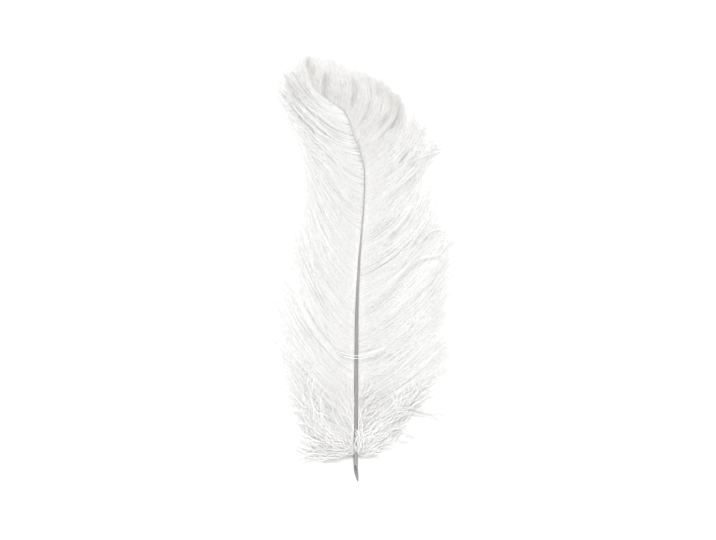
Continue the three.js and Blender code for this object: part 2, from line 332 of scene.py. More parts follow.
RIGHT_GUIDES = np.array([
    [-128, 9.0, -130.5, 100, -8, 1.0, 0.30], [-127, 19.0, -122.0, 92, 10, 1.2, 0.26],
    [-125, 28.0, -112.0, 84, 12, 1.4, 0.22], [-122, 39.0, -99.5, 78, 14, 1.6, 0.20],
    [-118, 46.5, -88.0, 72, 26, 1.6, 0.18], [-112, 53.5, -76.0, 68, 34, 1.4, 0.16],
    [-103, 60.0, -62.0, 68, 42, 1.2, 0.15], [-92, 59.5, -45.0, 70, 46, 1.2, 0.15],
    [-80, 58.0, -30.0, 70, 52, 1.2, 0.15], [-66, 61.5, -12.0, 70, 54, 1.2, 0.15],
    [-52, 61.5, 5.0, 70, 58, 1.2, 0.15], [-38, 61.0, 20.0, 70, 60, 1.2, 0.15],
    [-27, 60.0, 30.5, 70, 46, 1.2, 0.15], [-15, 51.8, 41.0, 68, 74, 1.2, 0.15],
    [0, 49.8, 53.0, 66, 72, 1.2, 0.15], [14, 42.4, 66.0, 64, 80, 1.4, 0.15],
    [26, 45.2, 76.0, 62, 52, 1.6, 0.16], [35, 54.6, 83.5, 60, 36, 1.8, 0.18],
    [46, 47.6, 95.0, 60, 62, 2.0, 0.2], [57, 41.2, 105.5, 60, 78, 2.2, 0.22],
    [68, 28.5, 115.0, 60, 96, 2.6, 0.3], [80, 16.5, 129.0, 60, 118, 3.0, 0.34],
    [90, 5.0, 136.6, 54, 118, 3.4, 0.35], [98.5, -4.5, 140.8, 46, 120, 3.2, 0.35],
    [107, -14.5, 144.2, 42, 124, 2.6, 0.35], [115.5, -25.0, 147.4, 40, 130, 2.0, 0.35],
    [124, -34.4, 148.9, 32, 126, 1.2, 0.35], [134.4, -38.6, 149.2, 18, 108, 0.6, 0.3],
    [142.6, -38.6, 149.4, 10, 93, 0.2, 0.3],
])
DOWN_GUIDES = 3.4  # the down ends between these guides, counted from the foot
ROOT_INSET = 0.25  # how deep in the shaft's side a barb is rooted, as a share of the half width
LANDS_AT = 0.86  # share of a barb's length where it comes down to the surface
EDGE_HEIGHT, TIP_HEIGHT = 1.4, 4.5  # millimetres, of the barbs there: along the vane, and at the plume's tip
TIP_FROM_TO = (60, 132)  # y of the roots over which the one turns into the other
CURLED_FROM_TO = (54, 120)  # y of the roots over which the barbs come to lie close along the curled shaft
CURLED_HALF_WIDTH = 40  # millimetres from the shaft where those come down
ARRIVE_REACH = 0.5  # share of its span along which a barb has the heading of its tip
BARB_STEPS = 22
FLOOR_GAP = 0.04  # millimetres; nothing comes nearer to the surface
RIDGE_STRIDE = 40  # how far away the shaft is, is measured from every so many of its points


def smoothstep(value, low, high):
    """0 up to low, 1 from high, and an S between them."""
    t = np.clip((value - low) / (high - low), 0, 1)
    return t * t * (3 - 2 * t)


def off_shaft(plan):
    """How far points in plan lie from the nearest of a row of points on the shaft, in millimetres."""
    ridge = shaft_points[::RIDGE_STRIDE, :2] / MM
    return np.linalg.norm(plan[..., None, :] - ridge, axis=-1).min(-1)


def on_sheet(guides, side, place, share):
    """A point in the sheet of barbs, in millimetres. In plan each barb is a cubic Bezier curve from its root
    to its tip, which keeps the headings of both for a while. Its height eases from the shaft's to that of
    the edge with a smoothstep, and arches in a parabola. At the curled tip the distance from the shaft
    counts for that, and not the distance along the barb."""
    root_y, tip_x, tip_y, leave_deg, tip_deg, arch, keep = np.moveaxis(smooth_through(guides, place), -1, 0)
    middle, along, half = on_shaft(root_y * MM)
    out = side * unit(np.stack([along[..., 1], -along[..., 0]], -1))
    root = middle[..., :2] / MM + out * (half / MM * (1 - ROOT_INSET))[..., None]
    tip = np.stack([tip_x, tip_y], -1)
    span = np.linalg.norm(tip - root, axis=-1)[..., None]
    leave = np.arctan2(along[..., 1], along[..., 0]) - side * np.radians(leave_deg)
    arrive = np.radians(tip_deg)
    first = root + keep[..., None] * span * np.stack([np.cos(leave), np.sin(leave)], -1)
    second = tip - ARRIVE_REACH * span * np.stack([np.cos(arrive), np.sin(arrive)], -1)
    s = share[..., None]
    plan = (1 - s) ** 3 * root + 3 * s * (1 - s) ** 2 * first + 3 * s**2 * (1 - s) * second + s**3 * tip
    curled = smoothstep(root_y, *CURLED_FROM_TO)
    part = np.minimum(1, share / LANDS_AT * (1 - curled) + off_shaft(plan) / CURLED_HALF_WIDTH * curled)
    fall = (1 - part) ** 2 * (1 + 2 * part)
    edge = EDGE_HEIGHT + (TIP_HEIGHT - EDGE_HEIGHT) * smoothstep(root_y, *TIP_FROM_TO)
    height = edge + (middle[..., 2] / MM - edge) * fall + 4 * arch * part * (1 - part)
    return np.concatenate([plan, height[..., None]], -1)


CREAM = 0.43  # how far the plume turns to its warmer shade at the tip
CREAM_FROM_TO = {-1: (102, 130), 1: (62, 124)}  # y over which it does, on the left side and the right
CREAM_OUTWARDS = {-1: -0.3, 1: 0.3}  # how much more it does at the ends of the barbs, as a share
CREAM_ENDS = 0.4  # share of a barb's length from which that grows


def creamy(side, y, share):
    """How far a barb has turned to the warmer shade at a given y, this share of its length from the shaft:
    an S along the plume, made stronger or weaker by an S along the barb."""
    outwards = CREAM_OUTWARDS[side] * smoothstep(share, CREAM_ENDS, 1)
    return CREAM * smoothstep(y, *CREAM_FROM_TO[side]) * (1 + outwards)


PARTINGS = (  # where the pile opens between two locks: x and y of the middle, length, and how deep it is, both in the push and in painted shade
    (23.2, 113.5, 30, 1.5), (9.7, 125.8, 12, 1.1), (-7, 124, 22, 1.2), (-26.1, 123.4, 14, 0.9),
    (-27, 131.5, 12, 1.1), (-35.5, 141, 10, 0.9), (-47.6, 117.6, 14, 0.6), (-50, 126, 12, 0.5),
    (-43, 130, 12, 0.5), (-36, 108, 13, 0.5), (-20, 94, 14, 0.45), (3, 108, 18, 0.6), (14, 103, 14, 0.7),
    (27.4, 77.1, 9, 0.8), (34, 76.7, 12, 0.9), (41, 93.7, 7, 0.7), (33.6, 59.7, 10, 0.6),
    (33.4, 32.8, 9, 0.7), (22, 24.6, 10, 0.7), (38, 21.5, 20, 0.8), (15.3, 16.7, 6, 0.5),
    (32.5, 1.7, 10, 0.6), (56.3, 15.8, 10, 0.8), (49.7, -17.2, 9, 0.8), (29, -47, 8, 0.5),
    (52.3, -52.7, 5, 0.8), (51.7, -70, 4, 0.7), (17, -60, 8, 0.6), (33.5, -64.5, 8, 0.6),
    (31.8, -88, 11, 0.7), (27, -98, 24, 0.9), (22, -105, 12, 0.8), (5.5, -108, 9, 0.8),
    (-32.4, 86.5, 11, 0.4), (-31.8, 2.7, 10, 0.7), (-33, -18.5, 11, 0.7), (-39.5, -44, 21, 0.6),
    (-36.9, -85.7, 13, 0.7), (-39.6, -71.9, 7, 0.6), (-22, -97, 8, 0.8), (-22, -122, 8, 0.6),
)
PARTING_WIDTH = 1.5  # millimetres, of the bell curve across it
PARTING_DEPTH = 0.7  # millimetres down where it is 1 deep
PARTING_PUSH = 0.8  # and to either side
PARTING_REACH = 2.5  # millimetres; a layer that has no barb this near stays closed


def open_partings(paths, across, lock, pitch):
    """Opens the pile at PARTINGS. Each runs along the nearest gap between two locks: the barbs on either
    side are pushed apart and down by a bell curve of how many barbs away they are, which fades out at both
    ends of the parting. across points from a barb to the next one. Returns the moved paths and how deep in a
    parting each point lies."""
    moved, deep = paths.copy(), np.zeros(paths.shape[:2])
    number = np.arange(len(paths))
    edges = np.flatnonzero(np.diff(lock)) + 0.5
    run = np.linalg.norm(np.gradient(paths[..., :2], axis=1), axis=2).cumsum(1)
    for x, y, length, depth in PARTINGS:
        far = np.hypot(paths[..., 0] - x, paths[..., 1] - y)
        barb, step = np.unravel_index(far.argmin(), far.shape)
        if far[barb, step] > PARTING_REACH or not len(edges):
            continue
        beside = number - edges[np.abs(edges - barb).argmin()]
        ends = np.clip(1 - (2 * np.abs(run - run[barb, step]) / length) ** 4, 0, 1)
        bell = depth * np.exp(-((np.abs(beside) * pitch / PARTING_WIDTH) ** 2))[:, None] * ends
        moved += (PARTING_PUSH * np.sign(beside)[:, None] * bell)[..., None] * across
        moved[..., 2] -= PARTING_DEPTH * bell
        deep = np.maximum(deep, bell)
    return moved, deep


def wave(run, period, rng):
    """Sine waves along each path, of a random phase and of 0.7 to 1.4 times the given period in
    millimetres."""
    phase, stretch = rng.uniform(0, 2 * np.pi, (len(run), 1)), rng.uniform(0.7, 1.4, (len(run), 1))
    return np.sin(phase + 2 * np.pi * run / (period * stretch))


def read_off(rows, y):
    """The value at y, on the straight lines between rows of a y and its value."""
    return np.interp(y, *np.transpose(rows))


RUFFLED = {  # on the left side and the right: y of the root, and how ruffled the pile is there
    -1: [(-128, 1.1), (-105, 0.7), (-85, 0.45), (-25, 0.4), (5, 0.45), (45, 0.9), (85, 1.0), (105, 0.6),
         (143, 0.4)],
    1: [(-128, 1.1), (-100, 0.8), (-75, 0.4), (-60, 0.2), (-22, 0.25), (0, 0.6), (40, 0.8), (60, 0.8),
        (90, 0.6), (105, 0.35), (143, 0.3)],
}
EVEN_FROM_TO = (75, 100)  # y of the roots over which the barbs come to end in an even line
EVEN = {-1: 0.6, 1: 0.85}  # how even that line is
UNEVEN_LOCKS = 0.5  # how much lengths differ from lock to lock, over how much they do from barb to barb
SHORTEST, LONGEST = 0.5, 1.06  # of a barb, over the sheet's
ROOTED = (0.1, 0.9)  # where in its own pitch a barb may stand
GUIDE_SAMPLES = 2000  # at which the distances between the guides are measured
LOCK_DRAW = (0.6, 1.2)  # least and most by which draw differs from lock to lock
GATHER_FROM_TO = (0.1, 0.8)  # share of a barb's length over which it drifts to the middle of its lock
SWING, CURL = (0.03, 0.01, 0.08), (0.04, 0.01, 0.05)  # spread by lock, by barb, and what stray adds to that
HEAVE = (0.25, 0.1, 0.6)  # the same in millimetres, up and down
CURL_FROM = 0.7  # share of a barb's length where its end begins to curl
SWAY, SWAY_BY_STRAY, SWAY_PERIOD = 0.25, 1.2, 16  # millimetres, of a barb's waves to the side
DIVE_PERIOD = 24  # millimetres, of those up and down
CROWN = 0.4  # millimetres by which a well gathered lock is higher in its middle
RISE_FROM_TO, FALL_FROM_TO, FALL = (0.02, 0.5), (0.75, 1), 0.5  # shares along a barb, and how much it falls
LOWEST_STEM = 0.3  # millimetres above the surface
GREY_BY_BARB = 0.25  # from the whitest barb to the greyest
PARTING_PAINTED_SHADE = 0.7  # painted shade where a parting is 1 deep
SHADE_BESIDE_SHAFT = [  # y of the root, and how much painted shade greys the barbs beside the shaft
    (-128, 0.5), (-100, 0.5), (-75, 0.18), (-20, 0.2), (10, 0.26), (50, 0.3), (75, 0.3), (100, 0.16),
    (143, 0.12),
]
BESIDE_FROM_TO, BESIDE_FADES = (-0.05, 0.15), (0.05, 0.6)  # shares of a barb's length over which that painted shade comes in and fades out
GREY_ENDS = {  # y of the root, and how much greyer the barbs are at their ends, on the left side and the right
    -1: [(0, 0)],
    1: [(-120, 0), (-110, 0.2), (-92, 0.25), (-80, 0.15), (25, 0.12), (55, 0)],
}
GREY_ENDS_FROM = 0.65  # share of a barb's length
GREYEST = 1.5  # all greys together go no further


def lay_barbs(guides, side, first, last, rng, pitch, lock_barbs, draw, lift, reach, ragged, stray, dive,
              tone):
    """The paths of the barbs between two guides, as an array of barb, step and x, y, z in millimetres, and
    how grey each point is. pitch is the mean of the gaps between roots and between tips, and a lock has from
    the first to just under the second number of lock_barbs. A barb follows on_sheet for a share reach of its
    length, drifts towards the middle of its lock by the share draw, and swings sideways by a share of its
    span that grows with the square of the distance. stray, from 0 to 1, spreads the headings, and ragged the
    lengths. lift raises the layer, and dive is the height of the waves in which a barb surfaces. Where the
    pile is more RUFFLED, barbs drift, swing and dive more, and their lengths differ more. tone makes the
    layer greyer."""
    dense = np.linspace(first, last, GUIDE_SAMPLES)
    rows = smooth_through(guides, dense)
    roots = on_shaft(rows[:, 0] * MM)[0] / MM
    gaps = [np.linalg.norm(np.diff(points, axis=0), axis=1) for points in (roots, rows[:, 1:3])]
    run = np.concatenate([[0], np.cumsum((gaps[0] + gaps[1]) / 2)])
    count = int(run[-1] / pitch)
    place = np.interp((np.arange(count) + rng.uniform(*ROOTED, count)) * run[-1] / count, run, dense)
    share = np.linspace(0, 1, BARB_STEPS)[None, :]

    lock = np.searchsorted(np.cumsum(rng.integers(*lock_barbs, count)), np.arange(count), side="right")
    locks = lock.max() + 1
    lows, highs = np.full(locks, np.inf), np.full(locks, -np.inf)
    np.minimum.at(lows, lock, place)
    np.maximum.at(highs, lock, place)
    lock_place, lock_half = ((lows + highs) / 2)[lock], np.maximum((highs - lows) / 2, 1e-4)[lock]
    within = (place - lock_place) / lock_half
    root_y = smooth_through(guides, place)[:, 0]
    ruffle = read_off(RUFFLED[side], root_y)
    uneven = ragged * np.minimum(1, ruffle) * (1 - EVEN[side] * smoothstep(root_y, *EVEN_FROM_TO))
    ends = reach + uneven * (rng.normal(0, 1, count) + rng.normal(0, UNEVEN_LOCKS, locks)[lock])
    gathered = (ruffle * draw * rng.uniform(*LOCK_DRAW, locks)[lock])[:, None]
    at = place[:, None] + (lock_place - place)[:, None] * gathered * smoothstep(share, *GATHER_FROM_TO)
    along = share * np.clip(ends, SHORTEST, LONGEST)[:, None]
    paths = on_sheet(guides, side, np.clip(at, 0, len(guides) - 1), along)

    def spread(by_lock, by_barb, by_stray):
        """A number for each barb: that of its lock and one of its own, from two bell curves."""
        of_locks = rng.normal(0, by_lock, locks)[lock]
        return (of_locks + rng.normal(0, by_barb + by_stray * stray, count))[:, None]

    step = np.linalg.norm(np.diff(paths, axis=1), axis=2)
    run = np.concatenate([np.zeros((count, 1)), np.cumsum(step, axis=1)], axis=1)
    span = np.linalg.norm(paths[:, -1] - paths[:, 0], axis=1)[:, None]
    heading = unit(np.gradient(paths[..., :2], axis=1))
    across = np.stack([-heading[..., 1], heading[..., 0], np.zeros_like(run)], -1)
    swing, curl = spread(*SWING), spread(*CURL)
    bends = swing * share**2 + curl * np.clip((share - CURL_FROM) / (1 - CURL_FROM), 0, 1) ** 2
    sideways = span * ruffle[:, None] * bends
    sideways += share * (SWAY + SWAY_BY_STRAY * stray) * wave(run, SWAY_PERIOD, rng)
    paths += sideways[..., None] * across

    heave = lift + spread(*HEAVE)
    crown = (CROWN * draw * (1 - within**2))[:, None]
    rises = smoothstep(share, *RISE_FROM_TO) * (1 - FALL * smoothstep(share, *FALL_FROM_TO))
    paths[..., 2] += (heave + (crown + dive * wave(run, DIVE_PERIOD, rng)) * ruffle[:, None]) * rises
    paths, depth = open_partings(paths, side * across, lock, pitch)
    paths[..., 2] = np.maximum(paths[..., 2], LOWEST_STEM)
    # painted shade: the layer's tone greys the low under layer and fleece, and partings are greyed by how
    # deep they are; the grey per barb is tone at random
    grey = (tone + GREY_BY_BARB * (rng.random(count) - 0.5))[:, None] + PARTING_PAINTED_SHADE * depth
    beside = smoothstep(share, *BESIDE_FROM_TO) * (1 - smoothstep(share, *BESIDE_FADES))
    # painted shade beside the shaft
    grey += read_off(SHADE_BESIDE_SHAFT, root_y)[:, None] * beside
    grey += read_off(GREY_ENDS[side], root_y)[:, None] * smoothstep(share, GREY_ENDS_FROM, 1)
    return paths, np.clip(grey + creamy(side, paths[..., 1], share), 0, GREYEST)


STEM_CORNERS = np.array([90, 210, 330])  # degrees
CORNER_V = np.array([0, -0.42, 0.42])  # where they lie across the row that a barb has in the texture


def barb_stems(paths, grey, radius, roll):
    """Thin three-sided rods along the paths, tapering evenly from one radius to the other and closed at both
    ends. roll is how far each is turned about its own line: at 0 it has an edge upwards, at 60 degrees a
    flat side. Returns the points, the quads, the triangles of the ends, and the uv and the grey of each
    point."""
    count, steps, _ = paths.shape
    along = unit(np.gradient(paths, axis=1))
    right = unit(np.cross(along, [0, 0, 1.0]))
    up = np.cross(right, along)
    size = np.linspace(radius[0], radius[1], steps)[:, None, None]
    corner = np.radians(STEM_CORNERS + np.reshape(roll, (-1, 1)))[:, None, :, None]
    points = paths[:, :, None] + size * (np.cos(corner) * right[:, :, None] + np.sin(corner) * up[:, :, None])
    base = (np.arange(count) * steps * 3)[:, None]
    quads = (grid_quads(steps, 3).reshape(1, -1, 4) + base[..., None]).reshape(-1, 4)
    ends = np.concatenate([base + [0, 2, 1], base + 3 * (steps - 1) + [0, 1, 2]])
    rows = (np.arange(count) + 0.5) / count
    u = np.broadcast_to(np.linspace(0, 1, steps)[None, :, None], points.shape[:3])
    v = np.broadcast_to(rows[:, None, None] + CORNER_V / count, u.shape)
    return points.reshape(-1, 3), quads, ends, np.stack([u, v], -1).reshape(-1, 2), np.repeat(grey.ravel(), 3)


FEWEST = 4  # barbules on a barb
LAST_PLACE = 0.9999  # share of a barb's length; none grows past it
BARBULE_STAND = 26  # degrees; spread of how far a barbule stands out of the barb's plane
BARBULE_SPLAY = 8  # degrees; spread of its angle to the barb
BARBULE_SIZES = (0.7, 1.2)  # least and most over the length that is given for its place
LENGTHS_AT = (0, 0.45, 0.75, 1)  # shares of a barb's length: its root, both ends of its middle, its tip
ANGLE_FROM_TO = (0.08, 0.5)  # share of a barb's length over which the first angle turns into the second
BARBULE_STRAIGHTENS = (0.3, 0.75)  # share of its angle that it keeps past its bend
BARBULE_SAG = 0.22  # how steeply it hangs there
BENDS_AT = 0.45  # share of its length
BARBULE_TWIST = 0.7  # how unevenly the flat sides are turned
PAST_SHAFT = 0.6  # millimetres by which one may reach beyond the middle of the shaft


def barbules(paths, grey, rng, spacing, width, lengths, angles, bent):
    """Two rows of barbules on each path. A bent one is a thin kite of two triangles, bent at its widest
    place: it leaves the stem at an angle, then turns towards the barb's tip and sags. Any other is one
    triangle, with its foot on the stem. lengths are those at the root, at the middle and at the tip of a
    barb, and angles those at its root and further out. Close to the shaft they stay too short to reach over
    it."""
    count, steps, _ = paths.shape
    long = np.linalg.norm(np.diff(paths, axis=1), axis=2).sum(1)
    each = np.maximum(FEWEST, (2 * long / spacing).astype(int))
    barb = np.repeat(np.arange(count), each)
    order = np.arange(each.sum()) - np.repeat(np.cumsum(each) - each, each)
    share = np.clip((order + rng.uniform(0, 1, len(order))) / each[barb], 0, LAST_PLACE)
    spot = share * (steps - 1)
    k = spot.astype(int)
    t = (spot - k)[:, None]
    root = paths[barb, k] * (1 - t) + paths[barb, k + 1] * t
    slope = unit(np.gradient(paths, axis=1))
    along = unit(slope[barb, k] * (1 - t) + slope[barb, k + 1] * t)
    flat = unit(np.cross(along, [0, 0, 1.0]))
    over = np.cross(flat, along)
    roll = rng.normal(0, np.radians(BARBULE_STAND), len(order))[:, None]
    out = np.where(order % 2, 1, -1)[:, None] * np.cos(roll) * flat + np.sin(roll) * over
    angle = angles[0] + (angles[1] - angles[0]) * smoothstep(share, *ANGLE_FROM_TO)
    wide = np.radians(angle + rng.normal(0, BARBULE_SPLAY, len(order)))[:, None]
    turned = wide * rng.uniform(*BARBULE_STRAIGHTENS, len(order))[:, None]
    clear = off_shaft(paths[..., :2])[barb, k]
    root_length, middle_length, tip_length = lengths
    size = np.interp(share, LENGTHS_AT, (root_length, middle_length, middle_length, tip_length))
    size = np.minimum(size * rng.uniform(*BARBULE_SIZES, len(order)), PAST_SHAFT + clear)[:, None]
    first = np.cos(wide) * along + np.sin(wide) * out
    second = unit(np.cos(turned) * along + np.sin(turned) * out - [0, 0, BARBULE_SAG])
    bend = root + BENDS_AT * size * first
    tip = bend + (1 - BENDS_AT) * size * second
    broad = width / 2 * unit(np.cross(first, over + BARBULE_TWIST * rng.normal(0, 1, root.shape)))
    if bent:  # onwards and aside place each corner in the texture, along its barb's row and across it
        points, faces = np.stack([root, bend - broad, bend + broad, tip], axis=1), [[0, 1, 2], [1, 3, 2]]
        onwards, aside = np.array([0, 0.3, 0.3, 0.6]), np.array([0, -0.2, 0.2, 0])
    else:
        points, faces = np.stack([root - broad, root + broad, tip], axis=1), [[0, 1, 2]]
        onwards, aside = np.array([0, 0, 0.6]), np.array([-0.2, 0.2, 0])
    points[..., 2] = np.maximum(points[..., 2], FLOOR_GAP)
    corners = points.shape[1]
    triangles = np.concatenate([corners * np.arange(len(order))[:, None] + face for face in faces])
    u = np.minimum(share[:, None] + onwards * (size / long[barb, None]), 1)
    v = ((barb + 0.5) / count)[:, None] + aside / count
    tone = np.repeat(grey[barb, k] * (1 - t[:, 0]) + grey[barb, k + 1] * t[:, 0], corners)
    return points.reshape(-1, 3), triangles, np.stack([u, v], -1).reshape(-1, 2), tone


THIRD_TURN = 120  # degrees


def tuft(name, laid, rng, radius, rolled=False, **habit):
    """One mesh of barbs from their paths and greys: stems of these radii at root and tip, and barbules of
    this habit. Rolled stems are turned at random and keep sharp edges, so some catch the light and others
    don't. The mesh keeps the greys for its material."""
    roll = rng.uniform(0, THIRD_TURN, len(laid[0])) if rolled else np.zeros(len(laid[0]))
    stem_points, quads, ends, stem_uv, stem_grey = barb_stems(*laid, radius, roll)
    points, triangles, uv, grey = barbules(*laid, rng, **habit)
    piece = new_mesh(name, MM * np.concatenate([stem_points, points]), quads,
                     triangles=np.concatenate([ends, triangles + len(stem_points)]),
                     uv=np.concatenate([stem_uv, uv]), smooth=not rolled)
    shade = piece.data.attributes.new("grey", "FLOAT", "POINT")
    shade.data.foreach_set("value", np.concatenate([stem_grey, grey]).astype(np.float32))
    return piece


LIGHT_THROUGH = 0.3  # share of the light that passes through a barb
BARB_TO_BARB = 0.235  # how much the shade of one barb differs from another's


def keratin(name, colour, shade, strength):
    """White barbs: a matt fibre that lets some light through. Its colour turns to the darker, warmer shade
    with the grey that the mesh keeps and with a noise that differs from barb to barb, both times the
    strength. In partings, in the low under layer and fleece, beside the shaft and towards the ends of wisps
    that grey is painted shade."""
    material, wire = new_material(name)
    place = wire.node("ShaderNodeUVMap", {"uv_map": "OFBake"})
    grey = wire.node("ShaderNodeAttribute", {"attribute_name": "grey"}, out="Fac")
    per_barb = wire.node("ShaderNodeTexNoise", values={
        "Vector": place.stretched(1.5, 90, 1), "Scale": 1.0, "Detail": 1.0}, out="Fac")
    tone = wire.node("ShaderNodeMix", {"data_type": "RGBA"}, {
        "Factor": (per_barb * BARB_TO_BARB + grey) * strength, "A": (*colour, 1), "B": (*shade, 1)}, out=2)
    skin = wire.node("ShaderNodeBsdfPrincipled", values={
        "Base Color": tone, "Roughness": per_barb * 0.2 + 0.5, "Specular IOR Level": 0.3})
    glow = wire.node("ShaderNodeBsdfTranslucent", values={"Color": (*colour, 1)})
    mixed = wire.node("ShaderNodeMixShader", values={0: LIGHT_THROUGH, 1: skin, 2: glow})
    wire.node("ShaderNodeOutputMaterial", values={"Surface": mixed})
    return material


white = keratin("barbs_white", (0.93, 0.93, 0.927), (0.378, 0.363, 0.338), 0.57)

# A soft under layer fills the vane, and the locks lie on it: name, number of pieces, how the barbs are laid,
# and their stems and barbules.
LAYERS = (
    # the under layer's tone is painted shade: it lies deeper in the pile than the locks
    ("under", 2,
     dict(pitch=1.25, lock_barbs=(1, 2), draw=0.0, lift=-0.5, reach=1.02, ragged=0.05, stray=0.15, dive=0.2,
          tone=0.15),
     dict(radius=(0.11, 0.03), spacing=0.42, width=0.13, lengths=(2.4, 3.8, 3.2), angles=(62, 46),
          bent=True)),
    ("locks", 3,
     dict(pitch=0.85, lock_barbs=(2, 5), draw=0.6, lift=0.3, reach=0.96, ragged=0.06, stray=0.14, dive=0.4,
          tone=0.05),
     dict(radius=(0.17, 0.06), spacing=0.42, width=0.12, lengths=(1.5, 1.3, 0.8), angles=(62, 24),
          bent=False)),
)
pile = []
for name, guides, side, seed in (("left", LEFT_GUIDES, -1, 11), ("right", RIGHT_GUIDES, 1, 12)):
    rng = np.random.default_rng(seed)
    for layer, pieces, laying, habit in LAYERS:
        barbs, grey = lay_barbs(guides, side, DOWN_GUIDES, len(guides) - 1, rng, **laying)
        pile.append(barbs.reshape(-1, 3))
        for number, group in enumerate(np.array_split(np.arange(len(barbs)), pieces), 1):
            piece = tuft(f"vane_{name}_{layer}_{number}", (barbs[group], grey[group]), rng, **habit)
            piece.data.materials.append(white)
            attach(piece, "root")
            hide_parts(f"vane_{name}")


# Here and there a lock has slipped out of its row and lies over the others, with its own bend. The barbs on
# the side away from the light are in shadow and look grey.
LOOSE_LOCKS = (  # side, barbs, millimetres above the pile, grey in shadow, middle line in plan from the shaft
    ("right", 6, 1.0, 1.0, [[-3, 84], [4.5, 88.5], [12, 95], [18.5, 101.8], [22.6, 108.5], [22.8, 115.5],
                            [20, 122.5], [15, 128.5]]),
    ("right", 4, 0.7, 0.75, [[4, -9], [12, -5.5], [24.3, 1], [31, 9.5], [38, 17], [45.5, 25.5], [51, 28.4],
                            [57.5, 28.2]]),
    ("right", 4, 0.7, 0.75, [[4, -22], [14, -14], [24, -5], [31, 1.5], [38.5, 7], [46, 9.2], [52, 10.4],
                             [56.4, 15], [58, 22]]),
    ("right", 3, 0.4, 0.4, [[-2, 2], [9, 12.5], [15, 19.5], [20, 26], [26.8, 33.2], [32, 41], [34, 50]]),
    ("right", 3, 0.4, 0.4, [[-2, 14], [16, 23], [26, 33], [33.4, 43.6], [37, 52], [38.4, 60], [37.5, 67]]),
    ("right", 4, 0.5, 0.4, [[-1, 41], [10, 49], [20, 59], [27.5, 70], [36, 77], [46, 80.5], [54, 83.5]]),
    ("left", 3, 0.4, 0.4, [[-4, -34], [-20, -14], [-28, -2], [-33.5, 9], [-36.2, 20], [-37.6, 32],
                           [-38, 44]]),
    ("left", 3, 0.4, 0.4, [[-5, -48], [-13, -39], [-20, -31], [-27, -21], [-31.5, -11], [-34.5, 1],
                           [-37, 14]]),
    ("left", 4, 0.5, 0.5, [[-1, 44], [-11, 51], [-18, 60], [-23, 70], [-28, 84], [-34, 98], [-42, 109]]),
    ("left", 3, 0.5, 0.5, [[0, 56], [-10, 65], [-20, 77], [-31, 88], [-43, 99], [-52, 110]]),
)
LOCK_GAP = 0.62  # millimetres between two barbs of a loose lock
LOCK_NARROWEST = 0.25  # its width at both ends, over that in the middle
LOCK_CLOSES = 1.15  # it is as narrow again before its tips, at their distance over this
LOCK_CROWN = 0.35  # millimetres by which the middle of a lock lies higher than its sides
LOCK_SUNK = 0.8  # millimetres by which its roots lie inside the pile
LOCK_FALL = 0.6  # share of its rise that is lost at its tips
LOCK_SWAY, LOCK_SWAY_PERIOD, LOCK_LENGTH = 0.25, 17, 60  # millimetres, of the waves of its barbs, and its own
LOCK_LOWEST = 0.5  # millimetres above the surface
LOCK_TONE = 0.1  # how grey it is in the light
SHADOW_WIDTH = 1.4  # barbs from its edge inwards
PILE_BELL = 2.2  # millimetres; spread of the bell curve that weighs the heights round a point
pile_points = np.concatenate(pile)[::3]  # every third is enough to tell its height


def pile_height(points):
    """Height of the pile under points in plan: the mean of all the barbs' heights, weighed by a bell curve
    of how far away they are."""
    apart = points[..., None, :] - pile_points[:, :2]
    weight = np.exp(-(apart**2).sum(-1) / PILE_BELL**2 / 2) + 1e-12
    return (weight * pile_points[:, 2]).sum(-1) / weight.sum(-1)


def lay_lock(knots, side, count, rise, shade, rng):
    """Paths and greys like lay_barbs's for one loose lock. Its barbs run side by side along a smooth middle
    line, close together at both ends. They come out of the pile, lie a little above it, highest in the
    middle of the lock, and go down again at their tips."""
    knots = np.array(knots, float)
    share = np.linspace(0, 1, BARB_STEPS)
    middle = smooth_through(knots, share * (len(knots) - 1))
    heading = unit(np.gradient(middle, axis=0))
    outer = side * np.stack([heading[:, 1], -heading[:, 0]], -1)
    row = np.arange(count) - (count - 1) / 2
    swell = np.sin(np.pi * np.minimum(1, share * LOCK_CLOSES)) ** 0.7
    offset = (row * LOCK_GAP)[:, None] * (LOCK_NARROWEST + (1 - LOCK_NARROWEST) * swell)
    offset += LOCK_SWAY * wave(np.tile(share * LOCK_LENGTH, (count, 1)), LOCK_SWAY_PERIOD, rng) * share
    plan = middle + offset[..., None] * outer
    crown = LOCK_CROWN * (1 - (row / row[-1]) ** 2)[:, None]
    lifted = (rise + crown) * smoothstep(share, 0.05, 0.4) - LOCK_SUNK * (1 - smoothstep(share, 0, 0.3))
    height = pile_height(middle) + lifted * (1 - LOCK_FALL * smoothstep(share, 0.8, 1))
    paths = np.concatenate([plan, np.maximum(height, LOCK_LOWEST)[..., None]], -1)
    shaded = smoothstep(row * side, row[-1] - SHADOW_WIDTH, row[-1])[:, None] * np.sin(np.pi * share) ** 2
    return paths, np.clip(LOCK_TONE + shade * shaded + creamy(side, paths[..., 1], share), 0, GREYEST)


rng = np.random.default_rng(41)
for name, side in (("left", -1), ("right", 1)):
    laid = [lay_lock(knots, side, count, rise, shade, rng)
            for place, count, rise, shade, knots in LOOSE_LOCKS if place == name]
    paths, greys = np.concatenate([lock[0] for lock in laid]), np.concatenate([lock[1] for lock in laid])
    piece = tuft(f"vane_{name}_loose_locks", (paths, greys), rng, radius=(0.17, 0.06), spacing=0.42,
                 width=0.12, lengths=(1.3, 1.2, 0.8), angles=(50, 24), bent=False)
    piece.data.materials.append(white)
    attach(piece, "root")
    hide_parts(f"vane_{name}")


